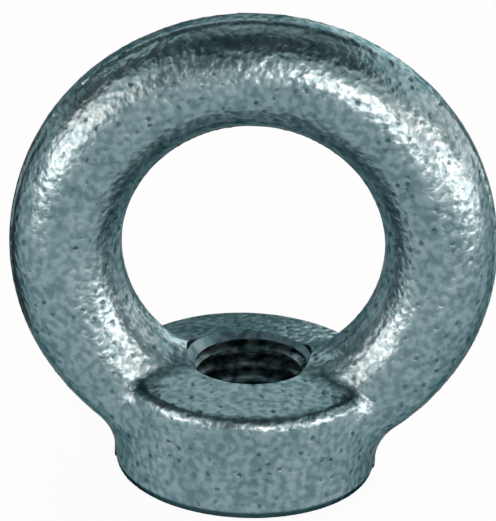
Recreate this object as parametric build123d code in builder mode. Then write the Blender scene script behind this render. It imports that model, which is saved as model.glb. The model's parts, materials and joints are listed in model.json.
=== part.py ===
"""Lifting eye nut, M16: a ring and a collar drop forged in one piece, then tapped.

The nut stands on its machined contact face, which lies in Z = 0 with the origin
on the thread axis.  The ring stands above the collar in the XZ plane, which is
also the parting plane of the forging dies.
"""
import os
from math import cos, radians, sin, sqrt, tan

from build123d import *

# ---------------------------------------------------------------------------
# Driving dimensions, in millimetres and degrees
# ---------------------------------------------------------------------------
# Thread: ISO metric coarse, right through the collar
thread_diameter = 16.0
thread_pitch = 2.0
countersink_diameter = 16.4
countersink_angle = 90.0

# Ring, measured over the trimmed flash
eye_diameter = 34.0
ring_width = 14.5  # from the eye to the outside
top_thickness = 13.4  # front to back at the top of the ring
foot_thickness = 16.4  # front to back at its foot, inside the collar

# Collar
collar_diameter = 34.5  # over the trimmed flash
collar_height = 14.0  # at the rim of its top face
collar_draft = 7.0  # slope of the top face, which is highest at the bore
shoulder_radius = 1.8
contact_chamfer = 0.6

# Forging details
neck_radius = 2.5  # where the ring runs into the collar
flash_width = 3.0
flash_height = 0.15  # how far the trimmed flash stands proud

# ---------------------------------------------------------------------------
# Sizes that follow
# ---------------------------------------------------------------------------
thread_triangle = thread_pitch * sqrt(3) / 2
tapping_radius = thread_diameter / 2 - 5 / 8 * thread_triangle

# The lowest point of the eye is level with the rim of the collar
eye_centre_height = collar_height + eye_diameter / 2
centre_line_radius = (eye_diameter + ring_width) / 2
ring_radius = eye_diameter / 2 + ring_width
section_width = ring_width - 2 * flash_height

collar_radius = collar_diameter / 2 - flash_height
crown_slope = tan(radians(collar_draft))
crown_height = collar_height + collar_radius * crown_slope
mouth_height = crown_height - countersink_diameter / 2 * crown_slope

# ---------------------------------------------------------------------------
# The ring.  Oval sections stand across the +X half of its centre line, their
# front-to-back thickness growing evenly from the top to the foot.
# ---------------------------------------------------------------------------
eye_centre = Plane((0, 0, eye_centre_height), x_dir=(1, 0, 0), z_dir=(0, -1, 0))

with BuildPart() as ring:
    with BuildLine(eye_centre) as centre_line:
        CenterArc((0, 0), centre_line_radius, 90, -180)
    for angle in range(90, -91, -30):
        outward = Vector(cos(radians(angle)), 0, sin(radians(angle)))
        downward = Vector(sin(radians(angle)), 0, -cos(radians(angle)))
        station = eye_centre.origin + outward * centre_line_radius
        way_down = (1 - sin(radians(angle))) / 2
        thickness = top_thickness + way_down * (foot_thickness - top_thickness)
        with BuildSketch(Plane(station, x_dir=outward, z_dir=downward)):
            with BuildLine():
                for start in (0, 180):
                    EllipticalCenterArc(
                        (0, 0), section_width / 2, thickness / 2, start, arc_size=180
                    )
            make_face()
    sweep(path=centre_line.line, multisection=True)
    mirror(about=Plane.YZ)

# ---------------------------------------------------------------------------
# The trimmed flash: a land on the parting plane that follows the whole outline
# and the inside of the eye, a little proud of the rounded forging
# ---------------------------------------------------------------------------
with BuildPart() as flash:
    with BuildSketch(Plane.XZ):
        Rectangle(collar_diameter, 2 * collar_height)
        with Locations((0, eye_centre_height)):
            Circle(ring_radius)
            Circle(eye_diameter / 2, mode=Mode.SUBTRACT)
    extrude(amount=flash_width / 2, both=True)
    neck_corners = flash.edges().filter_by(Axis.Y).group_by(Axis.Z)[1]
    fillet(neck_corners, neck_radius - flash_height)
    split(bisect_by=Plane.XY, keep=Keep.TOP)
    contact_corners = flash.edges().filter_by(Axis.Y).group_by(Axis.Z)[0]
    chamfer(contact_corners, contact_chamfer)

# ---------------------------------------------------------------------------
# The finished nut
# ---------------------------------------------------------------------------
with BuildPart() as eye_nut:
    # Collar, turned about the thread axis
    with BuildSketch(Plane.XZ) as collar:
        with BuildLine():
            Polyline(
                (0, 0),
                (collar_radius, 0),
                (collar_radius, collar_height),
                (0, crown_height),
                close=True,
            )
        make_face()
        contact_corner, rim = collar.vertices().group_by(Axis.X)[-1].sort_by(Axis.Z)
        chamfer(contact_corner, contact_chamfer)
        fillet(rim, shoulder_radius)
    revolve(axis=Axis.Z)

    # Ring, blended into the collar where the two meet
    add(ring.part)
    fillet(eye_nut.edges(Select.NEW), neck_radius)

    # Flash, and the contact face machined flat
    add(flash.part)
    split(bisect_by=Plane.XY, keep=Keep.TOP)

    # Tapping bore, countersunk at its mouth in the eye and at the contact face
    contact_face = Plane((0, 0, 0), z_dir=(0, 0, -1))
    with Locations(Plane.XY.offset(mouth_height), contact_face):
        CounterSinkHole(
            tapping_radius,
            countersink_diameter / 2,
            depth=mouth_height,
            counter_sink_angle=countersink_angle,
        )

eye_nut.part.label = "eye_nut"

os.makedirs("parts", exist_ok=True)
export_step(eye_nut.part, "parts/eye_nut.step")
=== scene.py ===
# %% [markdown]
# # A lifting eye nut
#
# A lifting eye nut is a ring and a collar that are hammered in one piece
# between two dies, and then drilled, countersunk, tapped and zinc plated.
# This lesson mixes the finishes first.  Then it goes the way of the real
# work: the blank is forged, the hole is machined into it, and last the nut is
# stood in a studio.
#
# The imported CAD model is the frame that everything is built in.  Sizes are
# read from it and worked with in millimetres, as a machinist does, and each
# recipe turns its finished piece back into metres.

# %% Load the frame
import json
from math import cos, pi, radians, sin, tan

import bpy
from mathutils import Matrix, Vector


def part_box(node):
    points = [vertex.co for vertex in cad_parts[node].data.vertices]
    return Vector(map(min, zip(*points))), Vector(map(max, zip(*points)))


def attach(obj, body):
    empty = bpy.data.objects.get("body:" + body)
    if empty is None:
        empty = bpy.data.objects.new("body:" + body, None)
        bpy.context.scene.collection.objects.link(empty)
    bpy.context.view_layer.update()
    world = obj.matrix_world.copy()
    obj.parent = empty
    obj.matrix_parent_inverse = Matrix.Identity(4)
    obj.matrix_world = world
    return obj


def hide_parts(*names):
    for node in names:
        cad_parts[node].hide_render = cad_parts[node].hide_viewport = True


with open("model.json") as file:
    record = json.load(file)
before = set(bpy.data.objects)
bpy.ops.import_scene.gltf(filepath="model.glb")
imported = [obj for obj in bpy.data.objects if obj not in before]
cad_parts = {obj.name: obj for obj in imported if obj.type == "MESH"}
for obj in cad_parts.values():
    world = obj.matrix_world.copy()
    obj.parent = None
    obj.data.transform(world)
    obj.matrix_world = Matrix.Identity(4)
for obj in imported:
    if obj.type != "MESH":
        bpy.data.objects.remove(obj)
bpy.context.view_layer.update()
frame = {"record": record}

mm_per_metre = 1000
lowest, highest = (corner * mm_per_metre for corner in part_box("eye_nut"))
mounts = {mount["name"]: mount for mount in frame["record"]["mounts"]}
thread_middle = mounts["thread"]["pos_m"][2] * mm_per_metre
thread_length = mounts["thread"]["dims"]["length_mm"]
core_radius = mounts["thread"]["dims"]["r_mm"]
eye_height = mounts["eye"]["pos_m"][2] * mm_per_metre
print("eye nut, mm:", [round(side, 2) for side in highest - lowest])
print("core of the thread, mm:", core_radius, "centre of the eye, mm:", eye_height)

# %% [markdown]
# ## The camera
#
# The nut is seen from in front and a little above, from about arm's length
# and with a long lens, so that the ring hardly tapers.  The camera has no
# shift and no depth of field: it is pointed at a place just below the middle
# of the eye, and held two degrees off level.

# %% Camera
turn, rise, tilt = radians(0.86), radians(24.09), radians(2.24)
distance = 0.467
aim_left, aim_down = 0.00067, 0.00195

backwards = Vector((sin(turn) * cos(rise), -cos(turn) * cos(rise), sin(rise)))
level = Vector((cos(turn), sin(turn), 0))
upright = backwards.cross(level)
rightwards = level * cos(tilt) + upright * sin(tilt)
upwards = upright * cos(tilt) - level * sin(tilt)
middle = Vector((0, 0, eye_height / mm_per_metre))
aim = middle - rightwards * aim_left - upwards * aim_down

lens = bpy.data.cameras.new("long lens")
lens.lens = 250
lens.clip_start = 0.01
camera = bpy.data.objects.new("camera", lens)
bpy.context.collection.objects.link(camera)
facing = Matrix((rightwards, upwards, backwards)).transposed().to_4x4()
camera.matrix_world = Matrix.Translation(aim + backwards * distance) @ facing
bpy.context.scene.camera = camera
print("camera at, m:", [round(place, 3) for place in camera.matrix_world.translation])

# %% [markdown]
# ## Writing node trees as sums
#
# Node trees are drawn by hand in Blender's editor.  In a script they are
# easier to read as sums.  A `Wire` is one output of a node, and adding or
# multiplying wires adds the Math nodes for it.  `Tree.add` makes every other
# node, from its type, its settings, and the values or wires of its sockets.

# %% Wires and trees
class Wire:
    def __init__(self, tree, socket):
        self.tree, self.socket = tree, socket

    def math(self, operation, *values):
        sockets = dict(enumerate(values))
        return self.tree.add("ShaderNodeMath", {"operation": operation}, sockets)

    def __add__(self, other):
        return self.math("ADD", self, other)

    def __radd__(self, other):
        return self.math("ADD", other, self)

    def __sub__(self, other):
        return self.math("SUBTRACT", self, other)

    def __rsub__(self, other):
        return self.math("SUBTRACT", other, self)

    def __mul__(self, other):
        return self.math("MULTIPLY", self, other)

    def __rmul__(self, other):
        return self.math("MULTIPLY", other, self)

    def __truediv__(self, other):
        return self.math("DIVIDE", self, other)

    def __neg__(self):
        return self.math("MULTIPLY", self, -1)

    def __abs__(self):
        return self.math("ABSOLUTE", self)

    def root(self):
        return self.math("SQRT", self)

    def at_least(self, other):
        return self.math("MAXIMUM", self, other)

    def at_most(self, other):
        return self.math("MINIMUM", self, other)

    def rise(self, low, high):
        """0 below the low value, 1 above the high one, and smooth between."""
        settings = {"interpolation_type": "SMOOTHSTEP"}
        sockets = {"Value": self, "From Min": low, "From Max": high}
        return self.tree.add("ShaderNodeMapRange", settings, sockets)

    def other(self, output):
        """Another output of the node that this wire comes from."""
        return Wire(self.tree, self.socket.node.outputs[output])


class Tree:
    def __init__(self, tree):
        self.tree = tree

    def add(self, kind, settings=None, sockets=None, output=0):
        node = self.tree.nodes.new(kind)
        for name, setting in (settings or {}).items():
            setattr(node, name, setting)
        self.feed(node, sockets or {})
        return Wire(self, node.outputs[output]) if node.outputs else node

    def feed(self, node, sockets):
        for name, value in sockets.items():
            if isinstance(value, Wire):
                self.tree.links.new(value.socket, node.inputs[name])
            else:
                node.inputs[name].default_value = value


def length(a, b):
    return (a * a + b * b).root()


# %% [markdown]
# ## The finish
#
# After forging, the nut is blasted with steel shot, which leaves it covered
# in shallow dents about half a millimetre wide.  Then it is plated with a few
# thousandths of a millimetre of zinc and passivated blue.  The zinc follows
# every dent, so this finish is a metal whose grain is in its bump.  A picture
# of such a surface would need unwrapping and would repeat.  Here each mark is
# a noise of its own on Object coordinates: the dents of the shot, darker pits
# where scale came away, and slow clouds in the plating.  The contact face and
# its edge are turned and not blasted, so the dents stop at the face.  The
# lowest millimetre of the side is painted darker, as painted shade where the
# nut meets the floor.

# %% Helpers for finishes
def new_material(name):
    material = bpy.data.materials.new(name)
    material.use_nodes = True
    shader = material.node_tree.nodes["Principled BSDF"]
    return material, Tree(material.node_tree), shader


def noise(tree, point, size, detail, roughness=0.5):
    """Noise whose lumps are about that many metres across."""
    sockets = {"Vector": point, "Scale": 1 / size, "Detail": detail}
    sockets["Roughness"] = roughness
    return tree.add("ShaderNodeTexNoise", None, sockets)


def between(tree, factor, first, second):
    """A colour part of the way from the first to the second."""
    sockets = {"Factor": factor, 6: first, 7: second}
    return tree.add("ShaderNodeMix", {"data_type": "RGBA"}, sockets, output=2)


# %% [markdown]
# A pit is a cell of a Voronoi pattern that is dark only near its middle.  Its
# point is first pushed about by a fine noise, which makes the pit ragged, and
# the cell's own random colour decides how deep it is, so no two are alike.

# %% Marks in the zinc
dent_size, pit_spacing, cloud_size = 0.00095, 0.0013, 0.004
ragged_size, ragged_push = 0.0004, 0.0006
contact_face = 0.00004

blasted_zinc, tree, shader = new_material("zinc plate on a blasted forging")
point = tree.add("ShaderNodeTexCoord", output="Object")
z = tree.add("ShaderNodeSeparateXYZ", None, {0: point}).other("Z")
blasted = z.math("GREATER_THAN", z, contact_face)
# painted shade: the lowest millimetre above the contact face is darkened, as shade
# where the nut meets the floor
painted_foot_shade = (1 - z.rise(0.0008, 0.0012)) * blasted

dents = noise(tree, point, dent_size, 1.0, 0.35)
clouds = noise(tree, point, cloud_size, 3.0).rise(0.3, 0.7)
ragged = tree.add("ShaderNodeVectorMath", {"operation": "MULTIPLY_ADD"}, {
    0: noise(tree, point, ragged_size, 1.0).other("Color"),
    1: (ragged_push, ragged_push, ragged_push),
    2: point,
})
pit_cells = tree.add("ShaderNodeTexVoronoi", None, {
    "Vector": ragged, "Scale": 1 / pit_spacing,
})
pit_depth = tree.add("ShaderNodeSeparateColor", None, {0: pit_cells.other("Color")})
pits = (1 - pit_cells.rise(0.06, 0.42)) * pit_depth.rise(0.15, 0.9) * blasted

# %% [markdown]
# A metal's Specular Tint is how much it mirrors at a glancing angle.  A value
# well under white darkens the nut a little towards its outline.

# %% Zinc plate
pale_zinc = (0.222, 0.338, 0.361, 1)
dull_zinc = (0.097, 0.179, 0.202, 1)
# this grey serves both the pits and the painted shade at the foot
pit_and_foot_shade_grey = (0.008, 0.034, 0.042, 1)
dark_edge = (0.25, 0.28, 0.29, 1)
dent_depth = 0.00015

paleness = clouds * 0.3 + dents.rise(0.32, 0.68) * 0.7
tone = between(tree, paleness, dull_zinc, pale_zinc)
# pits and the painted shade at the foot darken the tone towards one grey
tone = between(tree, (pits * 0.8).at_least(painted_foot_shade * 0.9), tone, pit_and_foot_shade_grey)
relief = dents * blasted - pits * 0.3
grain = tree.add("ShaderNodeBump", None, {
    "Strength": 1.0, "Distance": dent_depth, "Height": relief,
})
tree.feed(shader, {
    "Base Color": tone,
    "Metallic": 1.0,
    "Roughness": 0.28 + pits * 0.15 + clouds * 0.05,
    "Specular Tint": dark_edge,
    "Normal": grain,
})
print("forged finish:", len(blasted_zinc.node_tree.nodes), "nodes")

# %% [markdown]
# ## The machined faces
#
# The countersinks and the thread are cut by tools, so they are smoother and
# have fine rings round the axis instead of dents.  The thread's flanks are
# painted much darker, as painted shade down in the hole.  This could be a mask
# in the first material, but the Boolean cuts below carry the material of each
# tool to the faces that it leaves, so the machined faces sort themselves out.
#
# The rings are the same noise, read at a point that is made only of how far
# out and how high it is, and stretched until its lumps are a tenth of a
# millimetre wide.

# %% Machined faces
def machined(name, dull, bright):
    material, tree, shader = new_material(name)
    point = tree.add("ShaderNodeTexCoord", output="Object")
    x = tree.add("ShaderNodeSeparateXYZ", None, {0: point})
    stretch = 40
    rings = tree.add("ShaderNodeCombineXYZ", None, {
        "X": length(x, x.other("Y")) * stretch, "Z": x.other("Z") * stretch,
    })
    tool_marks = noise(tree, rings, 0.004, 2.0)
    stains = noise(tree, point, 0.0014, 3.0).rise(0.35, 0.7)
    grain = tree.add("ShaderNodeBump", None, {
        "Strength": 0.6, "Distance": 0.00003, "Height": tool_marks + stains,
    })
    tree.feed(shader, {
        "Base Color": between(tree, stains, dull, bright),
        "Metallic": 1.0,
        "Roughness": 0.3 + stains * 0.1,
        "Specular Tint": dark_edge,
        "Normal": grain,
    })
    print(name + ":", len(material.node_tree.nodes), "nodes")
    return material


bored_zinc = machined(
    "zinc plate on bored faces", (0.085, 0.16, 0.185, 1), (0.165, 0.265, 0.29, 1))
# painted shade: the thread's zinc is made much darker, as shade down in the hole
thread_zinc_painted_dark = machined(
    "thread zinc painted dark as shade", (0.02, 0.05, 0.06, 1), (0.20, 0.29, 0.31, 1))

# %% [markdown]
# ## Geometry Nodes from a script
#
# A recipe is a Geometry Nodes tree whose sizes are named inputs.  `make`
# gives it to an empty object, sets its inputs by their identifiers before
# Blender first works it out, and keeps only the plain mesh that comes out.

# %% Recipes
def new_recipe(name, sizes):
    group = bpy.data.node_groups.new(name, "GeometryNodeTree")
    group.interface.new_socket(
        "Mesh", in_out="OUTPUT", socket_type="NodeSocketGeometry")
    for size, value in sizes.items():
        kind = "NodeSocketInt" if isinstance(value, int) else "NodeSocketFloat"
        group.interface.new_socket(size, socket_type=kind)
    tree = Tree(group)
    start = group.nodes.new("NodeGroupInput")
    return tree, {size: Wire(tree, start.outputs[size]) for size in sizes}


def end_recipe(tree, mesh, material):
    """From millimetres to metres, made real, and given its material."""
    shrink = (1 / mm_per_metre, 1 / mm_per_metre, 1 / mm_per_metre)
    mesh = tree.add("GeometryNodeTransform", None, {0: mesh, "Scale": shrink})
    mesh = tree.add("GeometryNodeRealizeInstances", None, {0: mesh})
    mesh = tree.add("GeometryNodeSetMaterial", None, {0: mesh, "Material": material})
    tree.add("NodeGroupOutput", None, {0: mesh})


def keep_result(piece, modifier):
    """Swap a piece's mesh for what its modifier makes of it."""
    result = piece.evaluated_get(bpy.context.evaluated_depsgraph_get())
    mesh = bpy.data.meshes.new_from_object(result)
    piece.modifiers.remove(modifier)
    piece.data = mesh
    print(f"{piece.name}: {len(mesh.vertices)} points, {len(mesh.polygons)} faces")


def make(name, tree, sizes):
    piece = bpy.data.objects.new(name, bpy.data.meshes.new(name))
    bpy.context.collection.objects.link(piece)
    modifier = piece.modifiers.new(name, "NODES")
    modifier.node_group = tree.tree
    for item in tree.tree.interface.items_tree:
        if item.in_out == "INPUT":
            modifier[item.identifier] = sizes[item.name]
    keep_result(piece, modifier)
    return piece


# %% [markdown]
# ## The forged blank
#
# The ring is an oval bar round the eye, a little thicker from front to back
# at its foot than at its top.  It stands on a round collar whose top face
# falls away from the middle, and the two run into each other in soft necks.
# Where the dies met, a thin flash was trimmed off and left a narrow land.
#
# This could be modelled face by face, but a forging is soft everywhere, and
# its necks would be hard to keep even.  So the blank is written as one rule
# instead: how far any point in space is from the surface.  Where two forms
# meet, their distances are joined with a fillet in the corner.  A Volume Cube
# samples the rule, and Volume to Mesh puts a skin on it.

# %% Sizes of the blank, in millimetres
blank_sizes = {
    "eye height": eye_height,
    "ring radius": 24.25,
    "half width": 7.1,
    "half thickness at the top": 6.7,
    "half thickness at the foot": 8.2,
    "collar radius": 17.1,
    "collar height": 14.0,
    "collar slope": tan(radians(7)),
    "shoulder radius": 1.6,
    "contact edge radius": 0.6,
    "neck radius": 2.5,
    "neck tightening": 1.6,
    "flash half width": 1.5,
    "flash height": 0.15,
    "flash edge radius": 0.1,
    "flash root radius": 0.3,
    "wave depth": 0.12,
    "allowance": 0.01,
}
wave_size = 6.25
skin_step = 0.4
print("bar, mm:", 2 * blank_sizes["half width"], "wide; skin sampled every", skin_step)


# %% How two forms are joined or trimmed
def joined(a, b, radius):
    """Both forms together, with a fillet of that radius between them."""
    corner = length((radius - a).at_least(0), (radius - b).at_least(0))
    return a.at_most(b).at_least(radius) - corner


def trimmed(a, b, radius):
    """What two forms share, with the edge between them rounded."""
    corner = length((a + radius).at_least(0), (b + radius).at_least(0))
    return a.at_least(b).at_most(-radius) + corner


# %% The ring
tree, size = new_recipe("forging", blank_sizes)
place = tree.add("GeometryNodeInputPosition")
x = tree.add("ShaderNodeSeparateXYZ", None, {0: place})
y, z = x.other("Y"), x.other("Z")

above_eye = z - size["eye height"]
from_eye = length(x, above_eye)
way_down = (1 - above_eye / from_eye) / 2
thickening = size["half thickness at the foot"] - size["half thickness at the top"]
half_thickness = size["half thickness at the top"] + way_down * thickening
across_bar = from_eye - size["ring radius"]
oval = length(across_bar / size["half width"], y / half_thickness)
ring = (oval - 1) * size["half width"]

# %% [markdown]
# The necks are tighter above the collar than beside it, but only at the front
# and the back of each foot, where a die presses straight down into the
# corner.  Near the parting plane they keep their full radius.

# %% The collar and the necks
side = length(x, y) - size["collar radius"]
top = z - size["collar height"] + side * size["collar slope"]
collar = trimmed(side, top, size["shoulder radius"])

on_top = (z - size["collar height"]).rise(-3, 0)
off_parting = abs(y).rise(2, 6)
neck = size["neck radius"] - off_parting * on_top * size["neck tightening"]
blank = joined(ring, collar, neck)

# %% The land of the flash
land = abs(across_bar) - size["half width"] - size["flash height"]
collar_land = abs(x) - size["collar radius"] - size["flash height"]
collar_land = collar_land.at_least(z - size["collar height"])
land = joined(land, collar_land, size["neck radius"] - size["flash height"])
land = trimmed(land, abs(y) - size["flash half width"], size["flash edge radius"])
blank = joined(blank, land, size["flash root radius"])

# %% [markdown]
# No forging is quite even, so slow waves about a tenth of a millimetre deep
# go over it.  They and a small allowance only take metal away, so the blank
# stays inside the CAD model.  The contact face is faced off last.

# %% Waves, contact face and skin
waves = tree.add("ShaderNodeTexNoise", None, {
    "Vector": place, "Scale": 1 / wave_size, "Detail": 2.0,
})
blank = blank + waves * size["wave depth"] + size["allowance"]
blank = trimmed(blank, -z, size["contact edge radius"])

air = Vector((1, 1, 1))
low, high = lowest - air, highest + air
steps = [round(side / skin_step) for side in high - low]
volume = tree.add("GeometryNodeVolumeCube", None, {
    "Density": -blank, "Background": -1.0, "Min": low, "Max": high,
    "Resolution X": steps[0], "Resolution Y": steps[1], "Resolution Z": steps[2],
})
skin = tree.add("GeometryNodeVolumeToMesh", None, {"Volume": volume, "Threshold": 0.0})
end_recipe(tree, skin, blasted_zinc)
nut = make("zinc_plated_eye_nut", tree, blank_sizes)

# %% [markdown]
# ## Drilling and countersinking
#
# The drill and both countersinks are turned shapes, so one outline spun round
# the axis gives the tool that leaves them.  Like the real spot facer, it also
# clears the feet of the ring above the mouth.  Boolean cuts leave crisp edges
# in the soft blank, as machining does.

# %% A turned tool
def off_axis(vertex):
    return vertex.co.xy.length


def turned(name, outline, steps=160):
    """A closed tool: an outline from axis to axis, spun round Z."""
    rows = outline[1:-1]
    points = [(0, 0, outline[0][1]), (0, 0, outline[-1][1])]
    for radius, height in rows:
        for step in range(steps):
            angle = 2 * pi * step / steps
            points.append((radius * cos(angle), radius * sin(angle), height))
    faces = []
    last = 2 + (len(rows) - 1) * steps
    for step in range(steps):
        following = (step + 1) % steps
        faces.append((0, 2 + following, 2 + step))
        faces.append((1, last + step, last + following))
        for under in range(2, last, steps):
            over = under + steps
            faces.append((
                under + step, under + following, over + following, over + step))
    mesh = bpy.data.meshes.new(name)
    mesh.from_pydata(points, [], faces)
    mesh.transform(Matrix.Scale(1 / mm_per_metre, 4))
    mesh.materials.append(bored_zinc)
    mesh.materials.append(thread_zinc_painted_dark)
    core = (core_radius + 0.01) / mm_per_metre
    for face in mesh.polygons:
        if all(off_axis(mesh.vertices[corner]) < core for corner in face.vertices):
            face.material_index = 1
    tool = bpy.data.objects.new(name, mesh)
    bpy.context.collection.objects.link(tool)
    return tool


# %% Drill and countersinks
countersink_radius = 8.2
countersink_depth = countersink_radius - core_radius
thread_top = thread_middle + thread_length / 2
mouth_height = thread_top + countersink_radius - core_radius
overrun, clearance = 1, 7
drill = turned("drill", [
    (0, -overrun),
    (countersink_radius + overrun, -overrun),
    (core_radius, countersink_depth),
    (core_radius, thread_top),
    (countersink_radius, mouth_height),
    (countersink_radius, mouth_height + clearance),
    (0, mouth_height + clearance),
])
print("mouth of the hole, mm up:", round(mouth_height, 2))

# %% [markdown]
# ## Tapping
#
# A coarse M16 thread climbs two millimetres a turn, to the right.  A stack of
# rings would be simpler, but rings don't climb, and the place where the
# groove runs out across the countersink would be missing.  So the cutting
# ridge of the tap is swept along a spiral, which Curve to Mesh does.  The
# spiral starts below the nut and ends above it, and the groove runs out
# through both countersinks.  How far the finished tap is turned and lowered
# decides where on the mouth that happens.

# %% The tap
tap_sizes = {
    "pitch": 2.0,
    "crest radius": 8.0,
    "crest width": 0.25,
    "flank slope": tan(radians(30)),
    "root radius": 6.6,
    "turns": 9.5,
    "steps a turn": 96,
}
tap_turn, tap_lowering = radians(90), 0.0023

tree, size = new_recipe("tap", tap_sizes)
ridge_height = size["crest radius"] - size["root radius"]
root_width = size["crest width"] + ridge_height * size["flank slope"] * 2
spiral = tree.add("GeometryNodeCurveSpiral", None, {
    "Resolution": size["steps a turn"], "Rotations": size["turns"],
    "Start Radius": size["root radius"], "End Radius": size["root radius"],
    "Height": size["turns"] * size["pitch"],
})
spiral = tree.add("GeometryNodeSetCurveNormal", {"mode": "Z_UP"}, {0: spiral})
ridge = tree.add("GeometryNodeCurvePrimitiveQuadrilateral", {"mode": "TRAPEZOID"}, {
    "Height": ridge_height, "Bottom Width": root_width,
    "Top Width": size["crest width"], "Offset": 0.0,
})
outwards = tree.add("ShaderNodeCombineXYZ", None, {"X": -ridge_height / 2})
turned_out = {0: ridge, "Translation": outwards, "Rotation": (0, 0, pi / 2)}
ridge = tree.add("GeometryNodeTransform", None, turned_out)
sweep = {"Curve": spiral, "Profile Curve": ridge, "Fill Caps": True}
end_recipe(tree, tree.add("GeometryNodeCurveToMesh", None, sweep), thread_zinc_painted_dark)
tap = make("tap", tree, tap_sizes)
tap.data.transform(Matrix.Rotation(tap_turn, 4, "Z"))
tap.data.transform(Matrix.Translation((0, 0, -tap_lowering)))


# %% Cut the hole
def cut(piece, tool):
    modifier = piece.modifiers.new("cut", "BOOLEAN")
    modifier.operation = "DIFFERENCE"
    modifier.solver = "EXACT"
    modifier.material_mode = "TRANSFER"
    modifier.object = tool
    keep_result(piece, modifier)
    bpy.data.objects.remove(tool)


cut(nut, drill)
cut(nut, tap)
crisp_edge = radians(28)
nut.data.shade_smooth()
nut.data.set_sharp_from_angle(angle=crisp_edge)

# %% [markdown]
# ## The studio
#
# The nut stands on white paper that runs up into a low white wall all round,
# so a metal surface finds white near the floor and a dark ceiling above.
#
# Paper that is lit until it looks white would need lamps that burn out the
# metal.  So the paper glows instead, and only for what looks straight at it:
# nearly all the way for the camera, where the rest is real paper that takes
# the nut's shadow, and a little less for a reflection.

# %% Paper
def sheet(name, points, faces, material):
    mesh = bpy.data.meshes.new(name)
    mesh.from_pydata(points, [], faces)
    mesh.materials.append(material)
    piece = bpy.data.objects.new(name, mesh)
    bpy.context.collection.objects.link(piece)
    return piece


camera_glow, mirror_glow = 0.94, 0.85
paper, tree, shader = new_material("white paper")
tree.feed(shader, {"Base Color": (0.9, 0.9, 0.9, 1), "Roughness": 0.9})
ray = tree.add("ShaderNodeLightPath", output="Is Camera Ray")
mirrored = ray.other("Is Glossy Ray").at_least(ray.other("Is Transmission Ray"))
white = tree.add("ShaderNodeEmission", None, {"Color": (1, 1, 1, 1), "Strength": 1.0})
surface = tree.add("ShaderNodeMixShader", None, {
    "Fac": (ray * camera_glow).at_least(mirrored * mirror_glow),
    1: Wire(tree, shader.outputs[0]),
    2: white,
})
tree.feed(paper.node_tree.nodes["Material Output"], {"Surface": surface})

# %% Floor and wall
reach, wall_height, corners = 2.0, 0.55, 48
angles = [2 * pi * step / corners for step in range(corners)]
foot = [(reach * cos(angle), reach * sin(angle), 0) for angle in angles]
head = [(reach * cos(angle), reach * sin(angle), wall_height) for angle in angles]
sheet("floor", foot, [tuple(range(corners))], paper)
sheet("wall", foot + head, [
    (step, corners + step, corners + (step + 1) % corners, (step + 1) % corners)
    for step in range(corners)
], paper)
print("paper, m:", 2 * reach, "across, wall", wall_height, "high")

# %% [markdown]
# Bright metal loses its outline in front of white paper.  A strip of card,
# black and close beside it, just out of view, paints a dark reflection along
# the edge, standing in for shade on the paper beside the nut.  It stands to the
# left and a little behind, and only reflections see it.

# %% Card for a painted dark reflection
black, tree, shader = new_material("card for a painted dark reflection")
tree.feed(shader, {"Base Color": (0.01, 0.01, 0.01, 1), "Roughness": 0.9})
near_edge, far_edge = (-0.0490, 0.0100), (-0.0367, 0.0193)
card_bottom, card_top = 0.003, 0.046
card = sheet("card", [
    (*near_edge, card_bottom), (*far_edge, card_bottom),
    (*far_edge, card_top), (*near_edge, card_top),
], [(0, 1, 2, 3)], black)
# painted reflection: the card is seen only in reflections, as shade on the paper
# beside the nut, and casts no shadow
card.visible_camera = card.visible_diffuse = card.visible_shadow = False
print("card for a painted dark reflection, m high:", round(card_top - card_bottom, 3))

# %% [markdown]
# Large soft lamps stand round the nut at table height, and weaker ones above
# them.  The low ones are warm, which takes the blue out of the brightest
# reflections.  The ceiling is nearly dark and leaves the dark band along the
# top of the ring.

# %% Lamps
lamp_distance = 0.9


def softbox(name, azimuth, elevation, width, height, watts, colour):
    """A soft lamp aimed at the nut; azimuth is to the right of straight in front."""
    lamp = bpy.data.lights.new(name, "AREA")
    lamp.shape = "RECTANGLE"
    lamp.size, lamp.size_y, lamp.energy, lamp.color = width, height, watts, colour
    box = bpy.data.objects.new(name, lamp)
    bpy.context.collection.objects.link(box)
    a, e = radians(azimuth), radians(elevation)
    direction = Vector((sin(a) * cos(e), -cos(a) * cos(e), sin(e)))
    box.location = middle + direction * lamp_distance
    box.rotation_euler = direction.to_track_quat("Z", "Y").to_euler()
    box.visible_camera = False
    print(f"{name}: {watts} W")


warm, cool = (1.0, 0.66, 0.60), (1.0, 0.94, 0.90)
softbox("front right", 20, 14, 0.40, 0.38, 4.6, warm)
softbox("right", 65, 14, 0.40, 0.38, 3.3, warm)
softbox("low right", 74, 1, 0.90, 0.19, 4.0, warm)
softbox("far right", 115, 14, 0.40, 0.38, 1.3, warm)
softbox("back", 160, 14, 0.40, 0.38, 3.2, warm)
softbox("left", -70, 14, 0.40, 0.38, 2.4, warm)
softbox("front left", -45, 14, 0.40, 0.38, 1.7, warm)
softbox("low left", -60, 1, 0.35, 0.19, 1.7, warm)
softbox("front above", 25, 38, 0.90, 0.42, 1.3, cool)
softbox("left above", -55, 38, 0.58, 0.42, 0.9, cool)
softbox("right above", 112, 38, 1.10, 0.42, 2.2, cool)
softbox("back above", -158, 38, 1.10, 0.42, 2.1, cool)
softbox("overhead", 180, 66, 0.66, 0.48, 0.6, cool)

# %% Ceiling
world = bpy.data.worlds.new("dark ceiling")
world.use_nodes = True
Tree(world.node_tree).feed(world.node_tree.nodes["Background"], {
    "Color": (0.4, 0.9, 1.0, 1), "Strength": 0.06,
})
bpy.context.scene.world = world
bpy.context.scene.view_settings.view_transform = "Standard"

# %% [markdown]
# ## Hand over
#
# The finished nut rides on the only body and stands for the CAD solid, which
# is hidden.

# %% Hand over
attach(nut, "root")
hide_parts("eye_nut")
